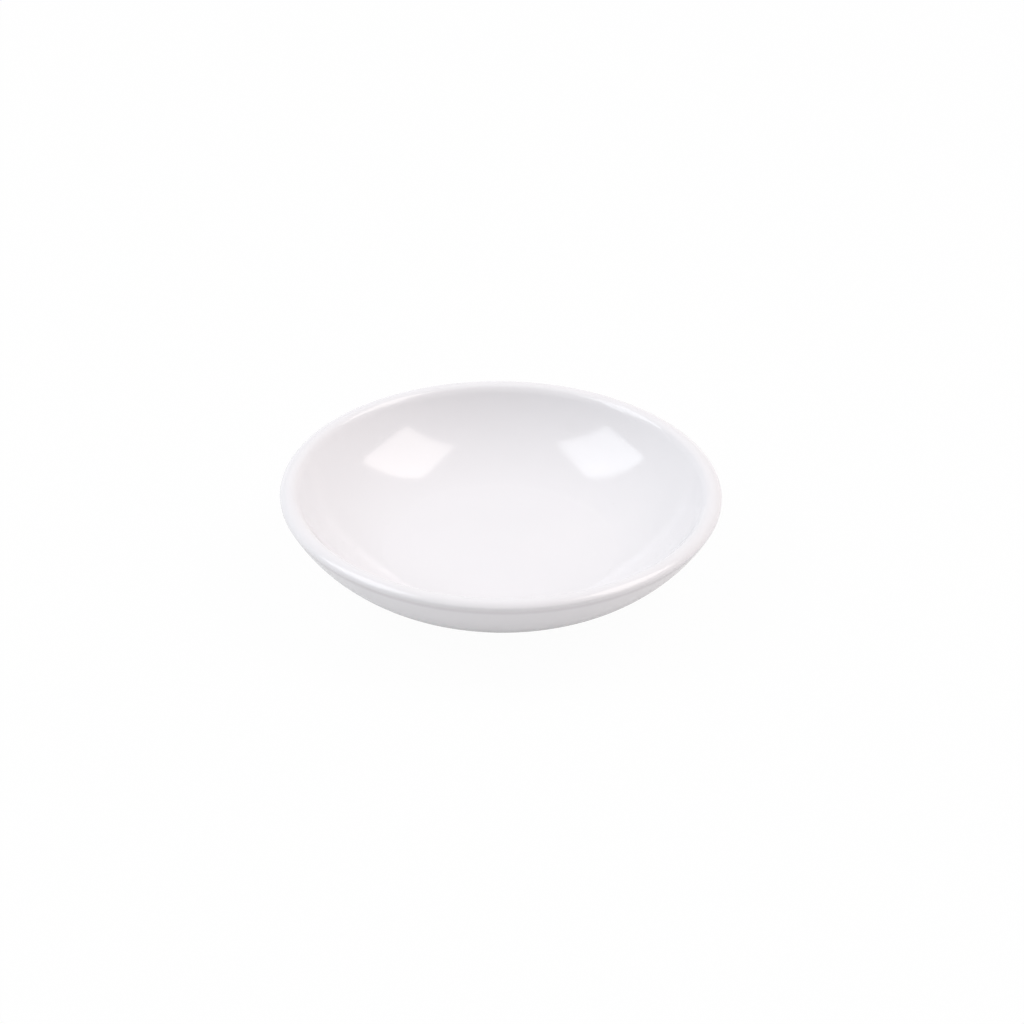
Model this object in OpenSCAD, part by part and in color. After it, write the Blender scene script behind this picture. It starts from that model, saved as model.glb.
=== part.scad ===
// Soy sauce dish: a small round porcelain coupe that stands on a foot ring.
// A clear glaze covers the bowl inside and out, and the well inside the foot ring. The ring's base is bare.
// The origin is the middle of the ring that the dish stands on, with +Z up. Lengths are in millimetres.
// Sizes are those of the glazed dish, apart from the foot ring's own, which are those of its bare base.

/* [Bowl] */
// Diameter over the lip
rim_d = 95; // [84:0.5:115]
// Height from the table to the top of the lip
dish_h = 21.5; // [18.5:0.5:26]
// Thickness of the floor
floor_t = 3.6; // [3:0.1:4.2]
// Radius of the arc that the outside of the wall follows
wall_r = 33; // [29:0.5:41]
// Radius of the arc that the inside of the wall follows
bowl_r = 30.4; // [27:0.1:36]
// Radius of the lip's soft inner round, which runs over the top
lip_in_r = 2.5; // [2:0.1:3]
// Radius of the lip's outer round
lip_out_r = 0.8; // [0.6:0.1:1.4]
// Angle above the horizon at which one round runs into the other
lip_turn = 42; // [35:1:60]

/* [Foot ring] */
// Outside diameter of the base
foot_d = 46; // [40:0.5:56]
// Width of the base
foot_w = 3; // [2.4:0.1:4.5]
// Lean of both sides, in degrees
foot_lean = 8; // [0:1:15]
// Radius of the two bottom edges
foot_edge_r = 0.6; // [0.3:0.1:0.9]
// Radius of the curve from the outer side into the wall
foot_curve_r = 1.2; // [0.8:0.1:1.6]
// Depth of the well inside the ring
well_depth = 2.2; // [1.8:0.1:3]
// Radius of the curve from the inner side into the well's ceiling
well_curve_r = 0.5; // [0.3:0.1:0.8]

/* [Glaze] */
// Thickness of the glaze
glaze_t = 0.3; // [0.15:0.05:0.4]
// Height of the bare side of the foot ring, above its bottom edge
bare_h = 0.3; // [0.2:0.1:0.6]

/* [Hidden] */

// Steps of a full turn, and of the arcs in the section
turn_steps = 180;
wall_steps = 24;
lip_steps = 8;
curve_steps = 8;

function mirrored(v) = [-v.x, v.y];
function angle_of(v) = atan2(v.y, v.x);
function reversed(points) = [for (i = [len(points) - 1:-1:0]) points[i]];

// Points of an arc, leaving out the first where it carries on from the curve before it
function arc(centre, radius, from, to, steps, first = 0) =
    [for (i = [first:steps])
        let (angle = from + (to - from) * i / steps)
        centre + radius * [cos(angle), sin(angle)]];

rim_r = rim_d / 2;
foot_r = foot_d / 2;
foot_in_r = foot_r - foot_w;

// The clay's own surfaces lie one glaze thickness below the glazed ones
clay_lip_in_r = lip_in_r - glaze_t;
clay_lip_out_r = lip_out_r - glaze_t;
clay_out_r = wall_r - glaze_t;
clay_in_r = bowl_r + glaze_t;
clay_foot_curve_r = foot_curve_r + glaze_t;
clay_well_curve_r = well_curve_r + glaze_t;
clay_ceiling_z = well_depth + glaze_t;

// Centres of the lip's two rounds
lip_step = (lip_in_r - lip_out_r) * [cos(lip_turn), sin(lip_turn)];
lip_out_centre = [rim_r - lip_out_r, dish_h - lip_in_r + lip_step.y];
lip_in_centre = lip_out_centre - lip_step;

// Each face of the wall turns about a centre placed so that its arc runs from the flat floor into the lip
wall_centre_z = well_depth + wall_r;
bowl_centre_z = well_depth + floor_t + bowl_r;
out_drop = wall_centre_z - lip_out_centre.y;
in_drop = bowl_centre_z - lip_in_centre.y;
wall_centre = [lip_out_centre.x - sqrt((wall_r - lip_out_r) ^ 2 - out_drop ^ 2), wall_centre_z];
bowl_centre = [lip_in_centre.x - sqrt((bowl_r + lip_in_r) ^ 2 - in_drop ^ 2), bowl_centre_z];
lip_out_angle = angle_of(lip_out_centre - wall_centre);
lip_in_angle = angle_of(lip_in_centre - bowl_centre);

// Directions up and out of the foot ring's outer side, in section
outer_up = [sin(foot_lean), cos(foot_lean)];
outer_out = [cos(foot_lean), -sin(foot_lean)];
inner_up = mirrored(outer_up);
inner_out = mirrored(outer_out);

// Centres of the foot ring's bottom edges, and where each bare side starts above them
edge_inset = foot_edge_r * (1 - sin(foot_lean)) / cos(foot_lean);
outer_edge_centre = [foot_r - edge_inset, foot_edge_r];
inner_edge_centre = [foot_in_r + edge_inset, foot_edge_r];
outer_side_start = outer_edge_centre + foot_edge_r * outer_out;
inner_side_start = inner_edge_centre + foot_edge_r * inner_out;

// Centre of the curve between the outer side and the wall, found by rising along the side to the wall's arc,
// or to the flat ceiling where the ring stands inside that arc's start
curve_start = outer_side_start + clay_foot_curve_r * outer_out;
start_from_wall = curve_start - wall_centre;
curve_reach = clay_out_r + clay_foot_curve_r;
along_side = start_from_wall * outer_up;
rise_to_wall = -along_side - sqrt(along_side ^ 2 - start_from_wall * start_from_wall + curve_reach ^ 2);
rise_to_ceiling = (clay_ceiling_z - clay_foot_curve_r - curve_start.y) / outer_up.y;
on_wall = curve_start + rise_to_wall * outer_up;
stands_under_floor = on_wall.x < wall_centre.x;
foot_curve_centre = stands_under_floor ? curve_start + rise_to_ceiling * outer_up : on_wall;
wall_end_angle = stands_under_floor ? -90 : angle_of(on_wall - wall_centre);

// Centre of the curve between the inner side and the well's flat ceiling
well_curve_z = clay_ceiling_z - clay_well_curve_r;
well_curve_inset = (clay_well_curve_r + well_curve_z * sin(foot_lean)) / cos(foot_lean);
well_curve_centre = [foot_in_r - well_curve_inset, well_curve_z];

// The glaze ends in a quarter round on each side of the foot ring
outer_glaze_end = outer_side_start + (bare_h + glaze_t) * outer_up;
inner_glaze_end = inner_side_start + (bare_h + glaze_t) * inner_up;

// Section from the middle of the floor to the lip, with a coat of this thickness over the clay
function inside_line(coat) = concat(
    [[0, bowl_centre.y - clay_in_r + coat]],
    arc(bowl_centre, clay_in_r - coat, -90, lip_in_angle, wall_steps));

// Section over the lip, from the inside over the top and the widest point to the outside
function lip_line(coat) = concat(
    arc(lip_in_centre, clay_lip_in_r + coat, lip_in_angle + 180, 90, lip_steps, 1),
    arc(lip_in_centre, clay_lip_in_r + coat, 90, lip_turn, lip_steps, 1),
    arc(lip_out_centre, clay_lip_out_r + coat, lip_turn, 0, lip_steps, 1),
    arc(lip_out_centre, clay_lip_out_r + coat, 0, lip_out_angle, lip_steps, 1));

// Section down the outside and round onto the foot ring's outer side
function outside_line(coat) = concat(
    arc(wall_centre, clay_out_r + coat, lip_out_angle, wall_end_angle, wall_steps, 1),
    arc(foot_curve_centre, clay_foot_curve_r - coat, wall_end_angle + 180, 180 - foot_lean, curve_steps,
        stands_under_floor ? 0 : 1));

// Section of the bare base, from the outer side to the inner one
function base_line() = concat(
    arc(outer_edge_centre, foot_edge_r, -foot_lean, -90, curve_steps),
    arc(inner_edge_centre, foot_edge_r, -90, foot_lean - 180, curve_steps));

// Section of the well, from the foot ring's inner side to the middle of the ceiling
function well_line(coat) = concat(
    arc(well_curve_centre, clay_well_curve_r - coat, foot_lean, 90, curve_steps),
    [[0, clay_ceiling_z - coat]]);

function bowl_line(coat) = concat(inside_line(coat), lip_line(coat), outside_line(coat));

// Solid of revolution of a closed section
module turned(section) {
    rotate_extrude($fn = turn_steps) polygon(section);
}

// Fired clay: bowl and foot ring, formed in one
module porcelain_body() {
    color("ivory") turned(concat(bowl_line(0), base_line(), well_line(0)));
}

// Clear glaze over the inside, the lip and the outside, down to the bare foot
module glaze_coat() {
    color("white") turned(concat(
        bowl_line(glaze_t),
        arc(outer_glaze_end, glaze_t, -foot_lean, -foot_lean - 90, curve_steps),
        reversed(bowl_line(0))));
}

// Patch of glaze inside the foot ring
module foot_well_glaze() {
    color("whitesmoke") turned(concat(
        arc(inner_glaze_end, glaze_t, foot_lean - 90, foot_lean - 180, curve_steps),
        well_line(glaze_t),
        reversed(well_line(0))));
}

porcelain_body();
glaze_coat();
foot_well_glaze();
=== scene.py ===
"""Soy sauce dish: a glazed porcelain coupe on a bare foot ring, on a white studio floor.

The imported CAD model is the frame. Each of its nodes is replaced by a finer mesh, turned from nearly the same
section, with a softer run from wall to lip and from floor to wall.
Lengths are in metres, in the frame's axes: +Z is up, and the origin is under the middle of the foot ring.
"""

import logging
import math
from dataclasses import dataclass
from enum import Enum

import bpy
from mathutils import Matrix, Quaternion, Vector


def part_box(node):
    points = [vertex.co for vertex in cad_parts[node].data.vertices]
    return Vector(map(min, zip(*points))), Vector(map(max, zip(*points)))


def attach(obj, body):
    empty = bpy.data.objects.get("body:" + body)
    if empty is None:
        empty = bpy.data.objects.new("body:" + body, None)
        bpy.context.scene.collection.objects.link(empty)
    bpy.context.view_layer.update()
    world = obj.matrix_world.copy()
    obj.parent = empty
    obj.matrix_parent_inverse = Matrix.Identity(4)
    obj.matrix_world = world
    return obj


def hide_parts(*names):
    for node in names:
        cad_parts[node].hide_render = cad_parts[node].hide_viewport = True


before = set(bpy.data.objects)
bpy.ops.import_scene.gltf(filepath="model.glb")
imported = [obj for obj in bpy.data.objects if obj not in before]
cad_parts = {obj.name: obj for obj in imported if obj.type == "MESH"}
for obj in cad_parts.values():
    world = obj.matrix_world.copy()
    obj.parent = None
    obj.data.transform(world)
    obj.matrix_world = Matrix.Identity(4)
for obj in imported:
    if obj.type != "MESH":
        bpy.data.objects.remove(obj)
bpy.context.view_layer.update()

LOG = logging.getLogger("soy_sauce_dish")
BODY = "root"
MM = 0.001
Colour = tuple[float, float, float]


class Node(Enum):
    """CAD nodes that the turned pieces replace."""

    PORCELAIN_BODY = "porcelain_body"
    GLAZE_COAT = "glaze_coat"
    FOOT_WELL_GLAZE = "foot_well_glaze"


class Slot(Enum):
    """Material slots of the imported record."""

    BARE_PORCELAIN = "bare_porcelain"
    BOWL_GLAZE = "bowl_glaze"
    WELL_GLAZE = "well_glaze"


class Side(Enum):
    """Sides of the studio, as the sign of X."""

    LEFT = -1
    RIGHT = 1


def towards(angle: float) -> Vector:
    """Unit direction in the section at this angle from the outward radius."""
    return Vector((math.cos(angle), math.sin(angle)))


@dataclass(frozen=True)
class DishSizes:
    """Sizes of the finished dish, and the section that they give as points of (radius, height)."""

    rim_radius: float
    height: float
    floor: float = 3.6 * MM
    wall_radius: float = 33 * MM
    bowl_radius: float = 30.7 * MM
    lip_ease_round: float = 6 * MM
    lip_inside_round: float = 1.8 * MM
    lip_inner_round: float = 2.5 * MM
    lip_outer_round: float = 0.8 * MM
    lip_turn: float = math.radians(42)
    lip_inside_turn: float = math.radians(100)
    lip_ease_turn: float = math.radians(135)
    foot_radius: float = 23 * MM
    foot_width: float = 3 * MM
    foot_lean: float = math.radians(8)
    foot_edge: float = 0.6 * MM
    foot_curve: float = 1.2 * MM
    well_depth: float = 2.2 * MM
    well_curve: float = 0.5 * MM
    glaze: float = 0.3 * MM
    bare_side: float = 0.3 * MM

    @classmethod
    def from_frame(cls) -> "DishSizes":
        """Takes the rim from the box of the glaze coat in the frame.

        Returns:
            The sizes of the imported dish.
        """
        _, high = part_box(Node.GLAZE_COAT.value)
        return cls(rim_radius=high.x, height=high.z)

    @property
    def lip_step(self) -> Vector:
        """Step from the centre of the lip's inner round to that of its outer round."""
        return (self.lip_inner_round - self.lip_outer_round) * towards(self.lip_turn)

    @property
    def lip_outer_centre(self) -> Vector:
        """Centre of the lip's outer round."""
        across = self.rim_radius - self.lip_outer_round
        return Vector((across, self.height - self.lip_inner_round + self.lip_step.y))

    @property
    def lip_inner_centre(self) -> Vector:
        """Centre of the lip's soft top round, which runs over into the outer one."""
        return self.lip_outer_centre - self.lip_step

    @property
    def lip_inside_centre(self) -> Vector:
        """Centre of the lip's tighter round on the inside."""
        step = self.lip_inner_round - self.lip_inside_round
        return self.lip_inner_centre + step * towards(self.lip_inside_turn)

    @property
    def lip_ease_centre(self) -> Vector:
        """Centre of the wide round that leads from the wall to the lip."""
        step = self.lip_inside_round - self.lip_ease_round
        return self.lip_inside_centre + step * towards(self.lip_ease_turn)

    @property
    def wall_centre(self) -> Vector:
        """Centre that the outside of the wall turns about.

        Returns:
            The centre, as (radius, height).
        """
        height = self.well_depth + self.wall_radius
        drop = height - self.lip_outer_centre.y
        reach = math.sqrt((self.wall_radius - self.lip_outer_round) ** 2 - drop**2)
        return Vector((self.lip_outer_centre.x - reach, height))

    @property
    def bowl_centre(self) -> Vector:
        """Centre that the inside of the bowl turns about.

        Returns:
            The centre, as (radius, height).
        """
        height = self.floor_height + self.bowl_radius
        drop = height - self.lip_ease_centre.y
        reach = math.sqrt((self.bowl_radius + self.lip_ease_round) ** 2 - drop**2)
        return Vector((self.lip_ease_centre.x - reach, height))

    @property
    def lip_inner_angle(self) -> float:
        """Angle about the bowl's centre at which the inside runs into the lip."""
        across = self.lip_ease_centre - self.bowl_centre
        return math.atan2(across.y, across.x)

    @property
    def lip_outer_angle(self) -> float:
        """Angle about the wall's centre at which the lip runs into the outside."""
        across = self.lip_outer_centre - self.wall_centre
        return math.atan2(across.y, across.x)

    @property
    def floor_height(self) -> float:
        """Height of the glazed floor inside the bowl."""
        return self.well_depth + self.floor

    @property
    def clay_out_radius(self) -> float:
        """Radius of the clay's outer face about the wall's centre."""
        return self.wall_radius - self.glaze

    @property
    def clay_foot_curve(self) -> float:
        """Radius of the clay's curve between the foot ring and the wall."""
        return self.foot_curve + self.glaze

    @property
    def clay_well_curve(self) -> float:
        """Radius of the clay's curve between the foot ring and the well's ceiling."""
        return self.well_curve + self.glaze

    @property
    def clay_ceiling(self) -> float:
        """Height of the clay over the well."""
        return self.well_depth + self.glaze

    @property
    def side_up(self) -> Vector:
        """Direction up along the foot ring's outer side."""
        return towards(math.pi / 2 - self.foot_lean)

    @property
    def side_out(self) -> Vector:
        """Direction square out of the foot ring's outer side."""
        return towards(-self.foot_lean)

    @property
    def edge_inset(self) -> float:
        """How far the centres of the foot's bottom edges lie inside its base."""
        return self.foot_edge * (1 - math.sin(self.foot_lean)) / math.cos(self.foot_lean)

    @property
    def outer_edge_centre(self) -> Vector:
        """Centre of the foot's outer bottom edge."""
        return Vector((self.foot_radius - self.edge_inset, self.foot_edge))

    @property
    def inner_edge_centre(self) -> Vector:
        """Centre of the foot's inner bottom edge."""
        return Vector((self.foot_radius - self.foot_width + self.edge_inset, self.foot_edge))

    @property
    def outer_side_start(self) -> Vector:
        """Lowest point of the foot's outer side, where its bottom edge ends."""
        return self.outer_edge_centre + self.foot_edge * self.side_out

    @property
    def inner_side_start(self) -> Vector:
        """Lowest point of the foot's inner side, where its bottom edge ends."""
        return self.inner_edge_centre + self.foot_edge * self.mirrored(self.side_out)

    @property
    def outer_glaze_end(self) -> Vector:
        """Centre of the quarter round in which the bowl's glaze ends."""
        return self.outer_side_start + (self.bare_side + self.glaze) * self.side_up

    @property
    def inner_glaze_end(self) -> Vector:
        """Centre of the quarter round in which the well's glaze ends."""
        return self.inner_side_start + (self.bare_side + self.glaze) * self.mirrored(self.side_up)

    @property
    def foot_curve_centre(self) -> Vector:
        """Centre of the curve between the foot's outer side and the wall.

        Returns:
            The centre, as (radius, height).
        """
        start = self.outer_side_start + self.clay_foot_curve * self.side_out
        away = start - self.wall_centre
        reach = self.clay_out_radius + self.clay_foot_curve
        along = away.dot(self.side_up)
        rise = -along - math.sqrt(along**2 - away.length_squared + reach**2)
        return start + rise * self.side_up

    @property
    def wall_end_angle(self) -> float:
        """Angle about the wall's centre at which the wall runs into the foot's curve."""
        across = self.foot_curve_centre - self.wall_centre
        return math.atan2(across.y, across.x)

    @property
    def well_curve_centre(self) -> Vector:
        """Centre of the curve between the foot's inner side and the well's ceiling.

        Returns:
            The centre, as (radius, height).
        """
        height = self.clay_ceiling - self.clay_well_curve
        inset = (self.clay_well_curve + height * math.sin(self.foot_lean)) / math.cos(self.foot_lean)
        return Vector((self.foot_radius - self.foot_width - inset, height))

    @staticmethod
    def mirrored(direction: Vector) -> Vector:
        """The same direction on the inner side of the foot ring."""
        return Vector((-direction.x, direction.y))


@dataclass(frozen=True)
class Steps:
    """How finely the sections are drawn and turned."""

    turn: int = 320
    floor: int = 24
    wall: int = 52
    lip: int = 16
    curve: int = 8
    side: int = 2
    hidden: int = 16


class SectionPen:
    """Draws a section in the XZ plane from one point on, with edit-mode operators, and turns it about Z."""

    MERGE = 0.001 * MM
    START_SIZE = MM
    SMOOTH_ANGLE = math.radians(40)

    def __init__(self, name: str, start: Vector) -> None:
        """Starts a new piece with one point.

        Args:
            name: Name of the piece.
            start: First point of the section, as (radius, height).
        """
        bpy.ops.object.select_all(action="DESELECT")
        bpy.ops.mesh.primitive_plane_add(size=self.START_SIZE)
        self.piece = bpy.context.object
        self.piece.name = name
        self.piece.data.name = name
        self.at = start
        bpy.ops.object.mode_set(mode="EDIT")
        bpy.ops.mesh.select_all(action="SELECT")
        bpy.ops.mesh.merge(type="CENTER")
        bpy.ops.transform.translate(value=(start.x, 0, start.y))

    def line(self, to: Vector, steps: int = 1) -> None:
        """Extrudes a straight stretch.

        Args:
            to: Point where the stretch ends.
            steps: Number of edges in it.
        """
        step = (to - self.at) / steps
        for _ in range(steps):
            bpy.ops.mesh.extrude_region_move(TRANSFORM_OT_translate={"value": (step.x, 0, step.y)})
        self.at = to

    def arc(self, centre: Vector, end_angle: float, steps: int) -> None:
        """Spins a round stretch about a centre, the short way from where the pen is.

        Args:
            centre: Centre of the arc.
            end_angle: Angle at which it ends, from the outward radius.
            steps: Number of edges in it.
        """
        spoke = self.at - centre
        turn = end_angle - math.atan2(spoke.y, spoke.x)
        turn = math.remainder(turn, math.tau)
        bpy.ops.mesh.spin(steps=steps, angle=turn, center=(centre.x, 0, centre.y), axis=(0, 1, 0))
        self.at = centre + spoke.length * towards(end_angle)

    def turned(self, steps: int) -> bpy.types.Object:
        """Turns the section right round and closes the solid.

        Args:
            steps: Number of steps in the turn.

        Returns:
            The turned piece, in object mode.
        """
        bpy.ops.object.mode_set(mode="OBJECT")
        turn = self.piece.modifiers.new("turn", "SCREW")
        turn.angle = math.tau
        turn.steps = steps
        turn.render_steps = steps
        turn.use_merge_vertices = True
        turn.merge_threshold = self.MERGE
        bpy.ops.object.modifier_apply(modifier=turn.name)
        bpy.ops.object.mode_set(mode="EDIT")
        bpy.ops.mesh.select_all(action="SELECT")
        bpy.ops.mesh.remove_doubles(threshold=self.MERGE)
        bpy.ops.mesh.normals_make_consistent(inside=False)
        bpy.ops.object.mode_set(mode="OBJECT")
        bpy.ops.object.shade_smooth_by_angle(angle=self.SMOOTH_ANGLE)
        return self.piece


class NodeBoard:
    """Places and wires the nodes of one tree."""

    # Sockets of the Mix node that serve colours, and the last part of an opaque colour
    MIX_MASK = 0
    MIX_FIRST = 6
    MIX_SECOND = 7
    MIX_RESULT = 2
    OPAQUE = 1.0

    def __init__(self, tree: bpy.types.NodeTree) -> None:
        """Starts on an empty tree."""
        self.tree = tree
        self.tree.nodes.clear()

    def add(self, kind: str, values: dict[str, object] | None = None, **settings: object) -> bpy.types.Node:
        """Adds a node.

        Args:
            kind: Blender's name for the kind of node.
            values: Values of its input sockets by name.
            settings: Values of its own properties by name.

        Returns:
            The new node.
        """
        node = self.tree.nodes.new(kind)
        for name, value in settings.items():
            setattr(node, name, value)
        for name, value in (values or {}).items():
            node.inputs[name].default_value = value
        return node

    def wire(self, source: bpy.types.NodeSocket, target: bpy.types.NodeSocket) -> None:
        """Links an output to an input."""
        self.tree.links.new(source, target)

    def map_range(self, source: bpy.types.NodeSocket, low: float, high: float, to_low: float = 0.0,
                  to_high: float = 1.0) -> bpy.types.NodeSocket:
        """Eases a value from one range to another.

        Args:
            source: Value to map.
            low: Value that gives to_low.
            high: Value that gives to_high.
            to_low: Result at low.
            to_high: Result at high.

        Returns:
            The mapped value.
        """
        node = self.add("ShaderNodeMapRange", interpolation_type="SMOOTHSTEP", clamp=True)
        for name, value in (("From Min", low), ("From Max", high), ("To Min", to_low), ("To Max", to_high)):
            node.inputs[name].default_value = value
        self.wire(source, node.inputs["Value"])
        return node.outputs["Result"]

    def math(self, operation: str, first: bpy.types.NodeSocket,
             second: bpy.types.NodeSocket | float) -> bpy.types.NodeSocket:
        """Combines a value with another.

        Args:
            operation: Blender's name for the operation.
            first: First value.
            second: Second value, a socket or a number.

        Returns:
            The result.
        """
        node = self.add("ShaderNodeMath", operation=operation)
        self.wire(first, node.inputs[0])
        if isinstance(second, bpy.types.NodeSocket):
            self.wire(second, node.inputs[1])
        else:
            node.inputs[1].default_value = second
        return node.outputs["Value"]

    def mix(self, mask: bpy.types.NodeSocket, first: bpy.types.NodeSocket | Colour,
            second: Colour) -> bpy.types.NodeSocket:
        """Mixes two colours by a mask.

        Args:
            mask: Share of the second colour.
            first: First colour, a socket or a value.
            second: Second colour.

        Returns:
            The mixed colour.
        """
        node = self.add("ShaderNodeMix", data_type="RGBA")
        self.wire(mask, node.inputs[self.MIX_MASK])
        if isinstance(first, bpy.types.NodeSocket):
            self.wire(first, node.inputs[self.MIX_FIRST])
        else:
            node.inputs[self.MIX_FIRST].default_value = (*first, self.OPAQUE)
        node.inputs[self.MIX_SECOND].default_value = (*second, self.OPAQUE)
        return node.outputs[self.MIX_RESULT]

    def effect(self, group: bpy.types.NodeTree, **values: float) -> bpy.types.Node:
        """Places an effect group with its own values.

        Args:
            group: The effect.
            values: Its inputs by name, with spaces written as underscores.

        Returns:
            The group node.
        """
        node = self.add("ShaderNodeGroup", node_tree=group)
        for name, value in values.items():
            node.inputs[name.replace("_", " ").title()].default_value = value
        return node


class Effects:
    """Effects that more than one finish uses, each a node group that is built once."""

    TONE_DETAIL = 2.0
    TONE_LOW = 0.3
    TONE_HIGH = 0.7
    WAVE_DETAIL = 0.0
    GRAIN_DETAIL = 3.0
    SPECK_EDGE = 1.0
    SPECK_CORE = 0.4
    SPECK_NONE = 0.8
    SPECK_FULL = 0.85

    def __init__(self) -> None:
        """Builds every effect."""
        self.ring_place = self.build_ring_place()
        self.kiln_tone = self.build_kiln_tone()
        self.skin_relief = self.build_skin_relief()
        self.body_specks = self.build_body_specks()

    @staticmethod
    def start(name: str, inputs: tuple[str, ...], outputs: tuple[str, ...]) -> NodeBoard:
        """Makes an empty group with number sockets.

        Args:
            name: Name of the group.
            inputs: Names of its inputs.
            outputs: Names of its outputs.

        Returns:
            A board on the group's tree.
        """
        tree = bpy.data.node_groups.new(name, "ShaderNodeTree")
        for socket in inputs:
            tree.interface.new_socket(socket, in_out="INPUT", socket_type="NodeSocketFloat")
        for socket in outputs:
            tree.interface.new_socket(socket, in_out="OUTPUT", socket_type="NodeSocketFloat")
        return NodeBoard(tree)

    @classmethod
    def build_ring_place(cls) -> bpy.types.NodeTree:
        """Radius from the dish's axis and height over the table, at each point of the surface.

        Returns:
            The group's tree.
        """
        board = cls.start("ring_place", (), ("Radius", "Height"))
        place = board.add("ShaderNodeTexCoord")
        parts = board.add("ShaderNodeSeparateXYZ")
        board.wire(place.outputs["Object"], parts.inputs["Vector"])
        flat = board.add("ShaderNodeCombineXYZ")
        board.wire(parts.outputs["X"], flat.inputs["X"])
        board.wire(parts.outputs["Y"], flat.inputs["Y"])
        radius = board.add("ShaderNodeVectorMath", operation="LENGTH")
        board.wire(flat.outputs["Vector"], radius.inputs[0])
        out = board.add("NodeGroupOutput")
        board.wire(radius.outputs["Value"], out.inputs["Radius"])
        board.wire(parts.outputs["Z"], out.inputs["Height"])
        return board.tree

    @staticmethod
    def noise(board: NodeBoard, fineness: bpy.types.NodeSocket, detail: float) -> bpy.types.NodeSocket:
        """Adds noise on Object coordinates.

        Args:
            board: Board of the effect.
            fineness: Waves in a metre.
            detail: Octaves of finer noise.

        Returns:
            The noise's value.
        """
        place = board.add("ShaderNodeTexCoord")
        noise = board.add("ShaderNodeTexNoise", {"Detail": detail})
        board.wire(place.outputs["Object"], noise.inputs["Vector"])
        board.wire(fineness, noise.inputs["Scale"])
        return noise.outputs["Fac"]

    @classmethod
    def build_kiln_tone(cls) -> bpy.types.NodeTree:
        """Soft clouds of tone that firing leaves, from 0 to 1.

        Returns:
            The group's tree.
        """
        board = cls.start("kiln_tone", ("Fineness",), ("Tone",))
        given = board.add("NodeGroupInput")
        clouds = cls.noise(board, given.outputs["Fineness"], cls.TONE_DETAIL)
        out = board.add("NodeGroupOutput")
        board.wire(board.map_range(clouds, cls.TONE_LOW, cls.TONE_HIGH), out.inputs["Tone"])
        return board.tree

    @classmethod
    def build_skin_relief(cls) -> bpy.types.NodeTree:
        """Relief of a fired surface: slow waves and a share of fine grain.

        Returns:
            The group's tree.
        """
        board = cls.start("skin_relief", ("Wave Fineness", "Grain Fineness", "Grain Share"), ("Relief",))
        given = board.add("NodeGroupInput")
        waves = cls.noise(board, given.outputs["Wave Fineness"], cls.WAVE_DETAIL)
        grain = cls.noise(board, given.outputs["Grain Fineness"], cls.GRAIN_DETAIL)
        share = board.math("MULTIPLY", grain, given.outputs["Grain Share"])
        out = board.add("NodeGroupOutput")
        board.wire(board.math("ADD", waves, share), out.inputs["Relief"])
        return board.tree

    @classmethod
    def build_body_specks(cls) -> bpy.types.NodeTree:
        """Sparse pin-sized specks in the clay, as a mask.

        Returns:
            The group's tree.
        """
        board = cls.start("body_specks", ("Fineness", "Size Share"), ("Specks",))
        given = board.add("NodeGroupInput")
        place = board.add("ShaderNodeTexCoord")
        cells = board.add("ShaderNodeTexVoronoi", feature="F1")
        board.wire(place.outputs["Object"], cells.inputs["Vector"])
        board.wire(given.outputs["Fineness"], cells.inputs["Scale"])
        chance = board.add("ShaderNodeSeparateColor")
        board.wire(cells.outputs["Color"], chance.inputs["Color"])
        near = board.math("DIVIDE", cells.outputs["Distance"], given.outputs["Size Share"])
        dot = board.map_range(near, cls.SPECK_EDGE, cls.SPECK_CORE)
        few = board.map_range(chance.outputs["Red"], cls.SPECK_NONE, cls.SPECK_FULL)
        out = board.add("NodeGroupOutput")
        board.wire(board.math("MULTIPLY", dot, few), out.inputs["Specks"])
        return board.tree


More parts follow.
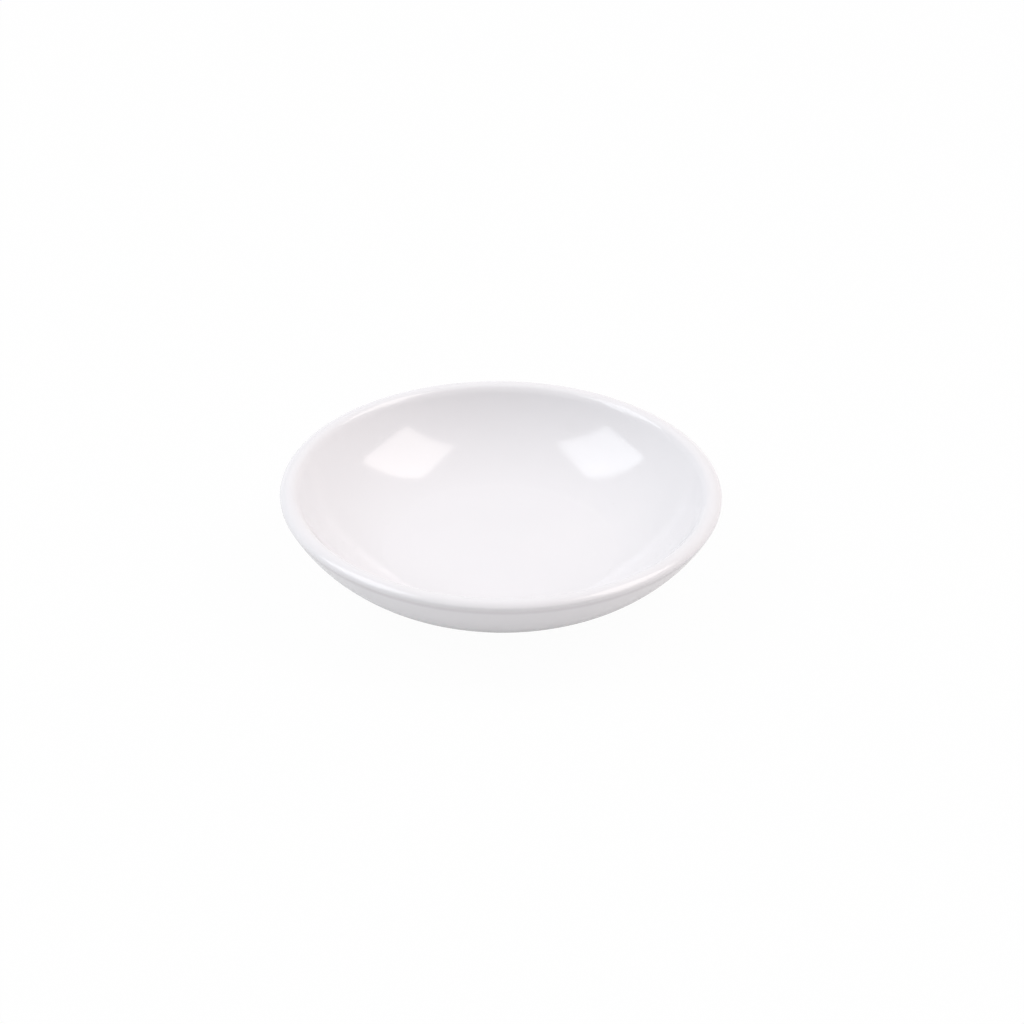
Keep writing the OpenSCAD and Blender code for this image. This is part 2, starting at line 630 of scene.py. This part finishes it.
@dataclass(frozen=True)
class GlazeFinish:
    """Clear gloss glaze over white porcelain."""

    name: str
    white: Colour = (0.874, 0.866, 0.885)
    tone: Colour = (0.864, 0.856, 0.876)
    # Painted shade: the darker colour of a line under the lip's outer round, standing in for the shade there
    painted_lip_shade: Colour = (0.77, 0.755, 0.777)
    pooled: Colour = (0.84, 0.842, 0.865)
    speck: Colour = (0.62, 0.58, 0.54)
    gloss_low: float = 0.09
    gloss_high: float = 0.13
    relief_depth: float = 0.02 * MM
    relief_share: float = 0.35
    # Where the painted shade line lies under the lip's outer round, and how softly it fades
    edge_drop: float = 0.8 * MM
    edge_fade: float = 1.0 * MM
    refraction: float = 1.58
    tone_fineness: float = 45.0
    speck_fineness: float = 120.0
    speck_size: float = 0.02
    wave_fineness: float = 140.0
    grain_fineness: float = 900.0
    grain_share: float = 0.1

    def board(self) -> tuple[bpy.types.Material, NodeBoard, bpy.types.Node]:
        """Starts the material.

        Returns:
            The material, its board and its shader.
        """
        material = bpy.data.materials.new(self.name)
        material.use_nodes = True
        board = NodeBoard(material.node_tree)
        shader = board.add("ShaderNodeBsdfPrincipled", {"IOR": self.refraction})
        out = board.add("ShaderNodeOutputMaterial")
        board.wire(shader.outputs["BSDF"], out.inputs["Surface"])
        return material, board, shader

    def finish(self, board: NodeBoard, shader: bpy.types.Node, effects: Effects, pool: bpy.types.NodeSocket,
               painted_lip_shade: bpy.types.NodeSocket | None) -> None:
        """Wires colour, gloss and relief.

        Args:
            board: Board of the material.
            shader: Its shader.
            effects: The shared effects.
            pool: Mask of where the glaze lies thick.
            painted_lip_shade: Mask of the painted shade line under the lip's outer edge, if any.
        """
        tone = board.effect(effects.kiln_tone, fineness=self.tone_fineness).outputs["Tone"]
        colour = board.mix(tone, self.white, self.tone)
        colour = board.mix(pool, colour, self.pooled)
        # Painted shade: darkens the glaze in a line under the lip's outer edge
        if painted_lip_shade is not None:
            colour = board.mix(painted_lip_shade, colour, self.painted_lip_shade)
        specks = board.effect(effects.body_specks, fineness=self.speck_fineness, size_share=self.speck_size)
        colour = board.mix(specks.outputs["Specks"], colour, self.speck)
        board.wire(colour, shader.inputs["Base Color"])
        gloss = board.map_range(tone, 0.0, 1.0, self.gloss_low, self.gloss_high)
        board.wire(gloss, shader.inputs["Roughness"])
        relief = board.effect(effects.skin_relief, wave_fineness=self.wave_fineness,
                              grain_fineness=self.grain_fineness, grain_share=self.grain_share)
        bump = board.add("ShaderNodeBump", {"Strength": self.relief_share, "Distance": self.relief_depth})
        board.wire(relief.outputs["Relief"], bump.inputs["Height"])
        board.wire(bump.outputs["Normal"], shader.inputs["Normal"])

    def on_bowl(self, effects: Effects, sizes: DishSizes) -> bpy.types.Material:
        """Glaze of the bowl, thick in the curve over the foot, with a line of painted shade under the lip's
        outer edge.

        Args:
            effects: The shared effects.
            sizes: Sizes of the dish.

        Returns:
            The material.
        """
        material, board, shader = self.board()
        place = board.effect(effects.ring_place)
        pool_top = sizes.floor_height - sizes.foot_curve
        pool = board.map_range(place.outputs["Height"], pool_top, sizes.foot_curve)
        # Mask of the painted shade line: a soft band a little under the lip's outer round, on its outer side
        edge = sizes.lip_outer_centre.y - self.edge_drop
        over = board.map_range(place.outputs["Height"], edge + self.edge_fade, edge)
        under = board.map_range(place.outputs["Height"], edge - self.edge_fade, edge)
        outside = board.map_range(place.outputs["Radius"], sizes.lip_inner_centre.x, sizes.lip_outer_centre.x)
        painted_lip_shade = board.math("MULTIPLY", board.math("MULTIPLY", over, under), outside)
        self.finish(board, shader, effects, pool, painted_lip_shade)
        return material

    def on_well(self, effects: Effects, sizes: DishSizes) -> bpy.types.Material:
        """Glaze of the well, thick in its corner.

        Args:
            effects: The shared effects.
            sizes: Sizes of the dish.

        Returns:
            The material.
        """
        material, board, shader = self.board()
        place = board.effect(effects.ring_place)
        corner = sizes.well_curve_centre.x
        pool = board.map_range(place.outputs["Radius"], corner - sizes.foot_width, corner)
        self.finish(board, shader, effects, pool, None)
        return material


@dataclass(frozen=True)
class BareClayFinish:
    """Unglazed porcelain, dry and finely grained, rubbed grey where it stands."""

    name: str
    clay: Colour = (0.83, 0.81, 0.775)
    tone: Colour = (0.79, 0.765, 0.73)
    rubbed: Colour = (0.6, 0.59, 0.575)
    speck: Colour = (0.5, 0.44, 0.38)
    rough_low: float = 0.55
    rough_high: float = 0.7
    relief_depth: float = 0.05 * MM
    relief_share: float = 0.6
    rub_share: float = 0.45
    refraction: float = 1.45
    tone_fineness: float = 350.0
    smudge_fineness: float = 220.0
    speck_fineness: float = 400.0
    speck_size: float = 0.06
    wave_fineness: float = 900.0
    grain_fineness: float = 6000.0
    grain_share: float = 0.7

    def material(self, effects: Effects, sizes: DishSizes) -> bpy.types.Material:
        """Makes the material.

        Args:
            effects: The shared effects.
            sizes: Sizes of the dish.

        Returns:
            The material.
        """
        material = bpy.data.materials.new(self.name)
        material.use_nodes = True
        board = NodeBoard(material.node_tree)
        shader = board.add("ShaderNodeBsdfPrincipled", {"IOR": self.refraction})
        out = board.add("ShaderNodeOutputMaterial")
        board.wire(shader.outputs["BSDF"], out.inputs["Surface"])
        tone = board.effect(effects.kiln_tone, fineness=self.tone_fineness).outputs["Tone"]
        place = board.effect(effects.ring_place)
        base = board.map_range(place.outputs["Height"], sizes.foot_edge / 2, 0.0)
        smudges = board.effect(effects.kiln_tone, fineness=self.smudge_fineness).outputs["Tone"]
        rub = board.math("MULTIPLY", board.math("MULTIPLY", base, smudges), self.rub_share)
        specks = board.effect(effects.body_specks, fineness=self.speck_fineness, size_share=self.speck_size)
        colour = board.mix(tone, self.clay, self.tone)
        colour = board.mix(rub, colour, self.rubbed)
        colour = board.mix(specks.outputs["Specks"], colour, self.speck)
        board.wire(colour, shader.inputs["Base Color"])
        rough = board.map_range(tone, 0.0, 1.0, self.rough_low, self.rough_high)
        board.wire(rough, shader.inputs["Roughness"])
        relief = board.effect(effects.skin_relief, wave_fineness=self.wave_fineness,
                              grain_fineness=self.grain_fineness, grain_share=self.grain_share)
        bump = board.add("ShaderNodeBump", {"Strength": self.relief_share, "Distance": self.relief_depth})
        board.wire(relief.outputs["Relief"], bump.inputs["Height"])
        board.wire(bump.outputs["Normal"], shader.inputs["Normal"])
        return material


@dataclass(frozen=True)
class Wander:
    """Slow unevenness of a surface, from clouds of this size and depth."""

    name: str
    cloud_size: float
    depth: float
    cloud_detail: int = 1
    still_level: float = 1.0

    def apply(self, piece: bpy.types.Object) -> None:
        """Moves the piece's points in from its surface, apart from where the clouds are full.

        Args:
            piece: Piece to move.
        """
        clouds = bpy.data.textures.new(self.name, "CLOUDS")
        clouds.noise_scale = self.cloud_size
        clouds.noise_depth = self.cloud_detail
        move = piece.modifiers.new(self.name, "DISPLACE")
        move.texture = clouds
        move.texture_coords = "LOCAL"
        move.direction = "NORMAL"
        move.mid_level = self.still_level
        move.strength = self.depth
        bpy.context.view_layer.objects.active = piece
        bpy.ops.object.modifier_apply(modifier=move.name)


@dataclass(frozen=True)
class DishPiece:
    """A turned piece of the dish."""

    sizes: DishSizes
    steps: Steps = Steps()

    def seat(self, piece: bpy.types.Object, material: bpy.types.Material, node: Node, slot: Slot) -> None:
        """Dresses a piece and ties it to the frame.

        Args:
            piece: The finished mesh.
            material: Its material.
            node: CAD node that it replaces.
            slot: Material slot of the imported record that the piece stands for; not used.
        """
        piece.data.materials.clear()
        piece.data.materials.append(material)
        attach(piece, BODY)
        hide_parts(node.value)
        LOG.info("%s: %d faces, replaces %s", piece.name, len(piece.data.polygons), node.value)

    def draw_bowl_out(self, pen: SectionPen) -> None:
        """Draws the bowl from the floor's middle over the lip to the foot's outer side.

        Args:
            pen: Pen at the middle of the floor.
        """
        sizes, steps = self.sizes, self.steps
        pen.line(Vector((sizes.bowl_centre.x, pen.at.y)), steps.floor)
        pen.arc(sizes.bowl_centre, sizes.lip_inner_angle, steps.wall)
        pen.arc(sizes.lip_ease_centre, sizes.lip_ease_turn, steps.lip)
        pen.arc(sizes.lip_inside_centre, sizes.lip_inside_turn, steps.lip)
        pen.arc(sizes.lip_inner_centre, sizes.lip_turn, steps.lip)
        pen.arc(sizes.lip_outer_centre, sizes.lip_outer_angle, steps.lip)
        pen.arc(sizes.wall_centre, sizes.wall_end_angle, steps.wall)
        pen.arc(sizes.foot_curve_centre, math.pi - sizes.foot_lean, steps.curve)


@dataclass(frozen=True)
class PorcelainBody(DishPiece):
    """The fired clay: bowl and foot ring in one."""

    def build(self) -> bpy.types.Object:
        """Turns the clay's section.

        Returns:
            The piece.
        """
        sizes, steps = self.sizes, self.steps
        pen = SectionPen("clay_body", Vector((0, sizes.floor_height - sizes.glaze)))
        self.draw_bowl_out(pen)
        pen.line(sizes.outer_side_start, steps.side)
        pen.arc(sizes.outer_edge_centre, -math.pi / 2, steps.curve)
        pen.line(Vector((sizes.inner_edge_centre.x, 0)), steps.side)
        pen.arc(sizes.inner_edge_centre, sizes.foot_lean - math.pi, steps.curve)
        pen.line(sizes.well_curve_centre + sizes.clay_well_curve * towards(sizes.foot_lean), steps.side)
        pen.arc(sizes.well_curve_centre, math.pi / 2, steps.curve)
        pen.line(Vector((0, sizes.clay_ceiling)))
        return pen.turned(steps.turn)

    def dress(self, piece: bpy.types.Object, effects: Effects) -> None:
        """Gives the clay its bare finish.

        Args:
            piece: The turned clay.
            effects: The shared effects.
        """
        finish = BareClayFinish("bare_porcelain")
        self.seat(piece, finish.material(effects, self.sizes), Node.PORCELAIN_BODY, Slot.BARE_PORCELAIN)


@dataclass(frozen=True)
class GlazeCoat(DishPiece):
    """The glaze over the inside, the lip and the outside."""

    floor_ease: float = 8 * MM
    ease_steps: int = 120
    ease_factor: float = 0.5
    waves: Wander = Wander("glaze_waves", 14 * MM, 0.05 * MM)

    def build(self) -> bpy.types.Object:
        """Turns the coat's section, a closed skin over the clay.

        Returns:
            The piece.
        """
        sizes, steps = self.sizes, self.steps
        pen = SectionPen("bowl_glaze", Vector((0, sizes.floor_height)))
        self.draw_bowl_out(pen)
        pen.line(sizes.outer_glaze_end + sizes.glaze * sizes.side_out, steps.side)
        pen.arc(sizes.outer_glaze_end, -math.pi / 2 - sizes.foot_lean, steps.curve)
        side_top = sizes.clay_foot_curve * towards(math.pi - sizes.foot_lean)
        pen.line(sizes.foot_curve_centre + side_top, steps.side)
        pen.arc(sizes.foot_curve_centre, sizes.wall_end_angle + math.pi, steps.curve)
        pen.arc(sizes.wall_centre, sizes.lip_outer_angle, steps.hidden)
        pen.arc(sizes.lip_outer_centre, sizes.lip_turn, steps.curve)
        pen.arc(sizes.lip_inner_centre, sizes.lip_inside_turn, steps.curve)
        pen.arc(sizes.lip_inside_centre, sizes.lip_ease_turn, steps.curve)
        pen.arc(sizes.lip_ease_centre, sizes.lip_inner_angle + math.pi, steps.curve)
        pen.arc(sizes.bowl_centre, -math.pi / 2, steps.hidden)
        pen.line(Vector((0, pen.at.y)))
        piece = pen.turned(steps.turn)
        self.ease_floor(piece)
        return piece

    def is_floor_edge(self, place: Vector) -> bool:
        """Tells whether a point of the coat lies on its inside, near where the flat floor turns up.

        Args:
            place: The point.

        Returns:
            Whether it does.
        """
        centre = self.sizes.bowl_centre
        beyond = math.hypot(place.x, place.y) - centre.x
        reach = math.hypot(max(beyond, 0.0), place.z - centre.y)
        on_face = abs(reach - self.sizes.bowl_radius) < self.sizes.glaze / 2
        return on_face and abs(beyond) < self.floor_ease

    def ease_floor(self, piece: bpy.types.Object) -> None:
        """Smooths the place where the flat floor turns up into the wall.

        Args:
            piece: The turned coat.
        """
        bpy.ops.object.mode_set(mode="EDIT")
        bpy.ops.mesh.select_all(action="DESELECT")
        bpy.ops.object.mode_set(mode="OBJECT")
        for vertex in piece.data.vertices:
            vertex.select = self.is_floor_edge(vertex.co)
        bpy.ops.object.mode_set(mode="EDIT")
        bpy.ops.mesh.select_mode(type="VERT")
        bpy.ops.mesh.vertices_smooth(factor=self.ease_factor, repeat=self.ease_steps)
        bpy.ops.object.mode_set(mode="OBJECT")

    def dress(self, piece: bpy.types.Object, effects: Effects) -> None:
        """Gives the coat its waves and gloss.

        Args:
            piece: The turned coat.
            effects: The shared effects.
        """
        self.waves.apply(piece)
        finish = GlazeFinish("bowl_clear_glaze")
        self.seat(piece, finish.on_bowl(effects, self.sizes), Node.GLAZE_COAT, Slot.BOWL_GLAZE)


@dataclass(frozen=True)
class FootWellGlaze(DishPiece):
    """The patch of glaze inside the foot ring."""

    waves: Wander = Wander("well_waves", 9 * MM, 0.05 * MM)

    def build(self) -> bpy.types.Object:
        """Turns the patch's section, a closed skin under the clay.

        Returns:
            The piece.
        """
        sizes, steps = self.sizes, self.steps
        pen = SectionPen("well_glaze", Vector((0, sizes.well_depth)))
        pen.line(Vector((sizes.well_curve_centre.x, sizes.well_depth)), steps.floor)
        pen.arc(sizes.well_curve_centre, sizes.foot_lean, steps.curve)
        pen.line(sizes.inner_glaze_end + sizes.glaze * sizes.mirrored(sizes.side_out), steps.side)
        pen.arc(sizes.inner_glaze_end, sizes.foot_lean - math.pi / 2, steps.curve)
        pen.line(sizes.well_curve_centre + sizes.clay_well_curve * towards(sizes.foot_lean), steps.side)
        pen.arc(sizes.well_curve_centre, math.pi / 2, steps.curve)
        pen.line(Vector((0, sizes.clay_ceiling)))
        return pen.turned(steps.turn)

    def dress(self, piece: bpy.types.Object, effects: Effects) -> None:
        """Gives the patch its waves and gloss.

        Args:
            piece: The turned patch.
            effects: The shared effects.
        """
        self.waves.apply(piece)
        finish = GlazeFinish("well_clear_glaze")
        self.seat(piece, finish.on_well(effects, self.sizes), Node.FOOT_WELL_GLAZE, Slot.WELL_GLAZE)


@dataclass(frozen=True)
class Softbox:
    """A softbox that hangs at one side, aimed across the dish and turned a little on its own axis."""

    side: Side
    place: tuple[float, float, float]
    aim: tuple[float, float, float]
    turn: float
    width: float
    height: float
    tint: Colour
    radiance: float = 2.55
    BEAM_AXIS = (0.0, 0.0, 1.0)

    def build(self) -> None:
        """Adds the lamp."""
        name = f"softbox_{self.side.name.lower()}"
        data = bpy.data.lights.new(name, "AREA")
        data.shape = "RECTANGLE"
        data.size = self.width
        data.size_y = self.height
        data.energy = self.radiance * math.pi * self.width * self.height
        data.color = self.tint
        lamp = bpy.data.objects.new(name, data)
        bpy.context.scene.collection.objects.link(lamp)
        lamp.location = self.place
        facing = (Vector(self.aim) - lamp.location).to_track_quat("-Z", "Y")
        own_turn = Quaternion(self.BEAM_AXIS, self.turn)
        lamp.rotation_euler = (facing @ own_turn).to_euler()


@dataclass(frozen=True)
class WhiteStudio:
    """A white floor before a bright backdrop, with a softbox at each side."""

    floor_size: float = 6.0
    floor_colour: Colour = (0.82, 0.82, 0.82)
    glow_colour: Colour = (1.0, 1.0, 1.0)
    glow_strength: float = 1.0
    floor_glow: float = 0.97
    mirrored_glow: float = 0.35
    sides: float = 0.985
    back: float = 0.455
    overhead: float = 0.905
    backdrop: float = 0.51
    backdrop_top: float = 0.34
    front_to_back: float = 0.1
    left_tint: Colour = (0.965, 0.98, 1.0)
    right_tint: Colour = (0.995, 0.95, 0.945)
    lamps: tuple[Softbox, ...] = (
        Softbox(side=Side.LEFT, place=(-0.605, 0.03, 0.795), aim=(0.062, -0.211, 0.0),
                turn=math.radians(24.5), width=0.542, height=0.534, tint=(0.96, 1.0, 1.04)),
        Softbox(side=Side.RIGHT, place=(0.527, 0.068, 0.847), aim=(-0.557, -0.081, 0.0),
                turn=math.radians(-18.5), width=0.547, height=0.542, tint=(1.05, 0.98, 0.945)),
    )

    def seen_white(self, board: NodeBoard) -> bpy.types.NodeSocket:
        """Share of plain white in the floor: most for the camera, less in mirrors and glass, none for light.

        Args:
            board: Board of the floor's material.

        Returns:
            The share.
        """
        path = board.add("ShaderNodeLightPath")
        direct = board.math("MULTIPLY", path.outputs["Is Camera Ray"], self.floor_glow)
        other = board.math("MAXIMUM", path.outputs["Is Glossy Ray"], path.outputs["Is Transmission Ray"])
        mirrored = board.math("MULTIPLY", other, self.mirrored_glow)
        return board.math("MAXIMUM", direct, mirrored)

    def build_floor(self) -> None:
        """Lays the floor."""
        bpy.ops.object.select_all(action="DESELECT")
        bpy.ops.mesh.primitive_plane_add(size=self.floor_size)
        floor = bpy.context.object
        floor.name = "studio_floor"
        material = bpy.data.materials.new("white_floor")
        material.use_nodes = True
        board = NodeBoard(material.node_tree)
        paint = board.add("ShaderNodeBsdfDiffuse", {"Color": (*self.floor_colour, board.OPAQUE)})
        white = (*self.glow_colour, board.OPAQUE)
        glow = board.add("ShaderNodeEmission", {"Color": white, "Strength": self.glow_strength})
        blend = board.add("ShaderNodeMixShader")
        board.wire(self.seen_white(board), blend.inputs["Fac"])
        board.wire(paint.outputs["BSDF"], blend.inputs[1])
        board.wire(glow.outputs["Emission"], blend.inputs[2])
        out = board.add("ShaderNodeOutputMaterial")
        board.wire(blend.outputs["Shader"], out.inputs["Surface"])
        floor.data.materials.append(material)

    def build_surround(self) -> None:
        """Sets the soft light of a white tent, which is dark in front, where the camera looks in."""
        world = bpy.data.worlds.new("studio_surround")
        world.use_nodes = True
        board = NodeBoard(world.node_tree)
        place = board.add("ShaderNodeTexCoord")
        direction = place.outputs["Generated"]
        parts = board.add("ShaderNodeSeparateXYZ")
        board.wire(direction, parts.inputs["Vector"])
        behind = board.map_range(parts.outputs["Y"], -self.front_to_back, self.front_to_back)
        back_low = self.back + self.backdrop
        low = board.map_range(parts.outputs["Z"], self.backdrop_top, 0.0, self.back, back_low)
        walls = board.add("ShaderNodeCombineXYZ", {"X": self.sides, "Z": self.overhead})
        board.wire(board.math("MULTIPLY", behind, low), walls.inputs["Y"])
        shares = board.add("ShaderNodeVectorMath", operation="MULTIPLY")
        board.wire(direction, shares.inputs[0])
        board.wire(direction, shares.inputs[1])
        level = board.add("ShaderNodeVectorMath", operation="DOT_PRODUCT")
        board.wire(shares.outputs["Vector"], level.inputs[0])
        board.wire(walls.outputs["Vector"], level.inputs[1])
        light = board.add("ShaderNodeBackground")
        across = board.map_range(parts.outputs["X"], Side.LEFT.value, Side.RIGHT.value)
        board.wire(board.mix(across, self.left_tint, self.right_tint), light.inputs["Color"])
        board.wire(level.outputs["Value"], light.inputs["Strength"])
        out = board.add("ShaderNodeOutputWorld")
        board.wire(light.outputs["Background"], out.inputs["Surface"])
        bpy.context.scene.world = world

    def build(self) -> None:
        """Builds floor, surround and lamps."""
        self.build_floor()
        self.build_surround()
        for lamp in self.lamps:
            lamp.build()


@dataclass(frozen=True)
class PhotoCamera:
    """A long lens that looks down at the dish as the photograph does."""

    sizes: DishSizes
    elevation: float = math.radians(30.9)
    roll: float = math.radians(0.72)
    distance: float = 0.95
    view_width: float = 0.22
    sensor: float = 36.0
    aim_right: float = 2.35 * MM
    aim_down: float = 5.41 * MM
    AXES = 3

    def build(self) -> None:
        """Adds the camera, aimed so that the dish lies where it does in the photograph."""
        data = bpy.data.cameras.new("photo_camera")
        data.sensor_width = self.sensor
        data.lens = self.sensor * self.distance / self.view_width
        camera = bpy.data.objects.new("photo_camera", data)
        bpy.context.scene.collection.objects.link(camera)
        back = Vector((0, -math.cos(self.elevation), math.sin(self.elevation)))
        roll = Matrix.Rotation(self.roll, self.AXES, "Z")
        turn = (-back).to_track_quat("-Z", "Y").to_matrix() @ roll
        right, up = turn.col[0], turn.col[1]
        rim_middle = Vector((0, 0, self.sizes.height))
        camera.location = rim_middle + self.distance * back
        aim = rim_middle + self.aim_right * right - self.aim_down * up
        look = (aim - camera.location).to_track_quat("-Z", "Y").to_matrix() @ roll
        camera.rotation_euler = look.to_euler()
        bpy.context.scene.camera = camera


def main() -> None:
    """Builds the dish, the studio and the camera."""
    logging.basicConfig(level=logging.INFO, format="%(name)s: %(message)s")
    bpy.context.scene.view_settings.view_transform = "Standard"
    sizes = DishSizes.from_frame()
    effects = Effects()
    for part in (PorcelainBody(sizes), GlazeCoat(sizes), FootWellGlaze(sizes)):
        part.dress(part.build(), effects)
    WhiteStudio().build()
    PhotoCamera(sizes).build()


if __name__ == "__main__":
    main()
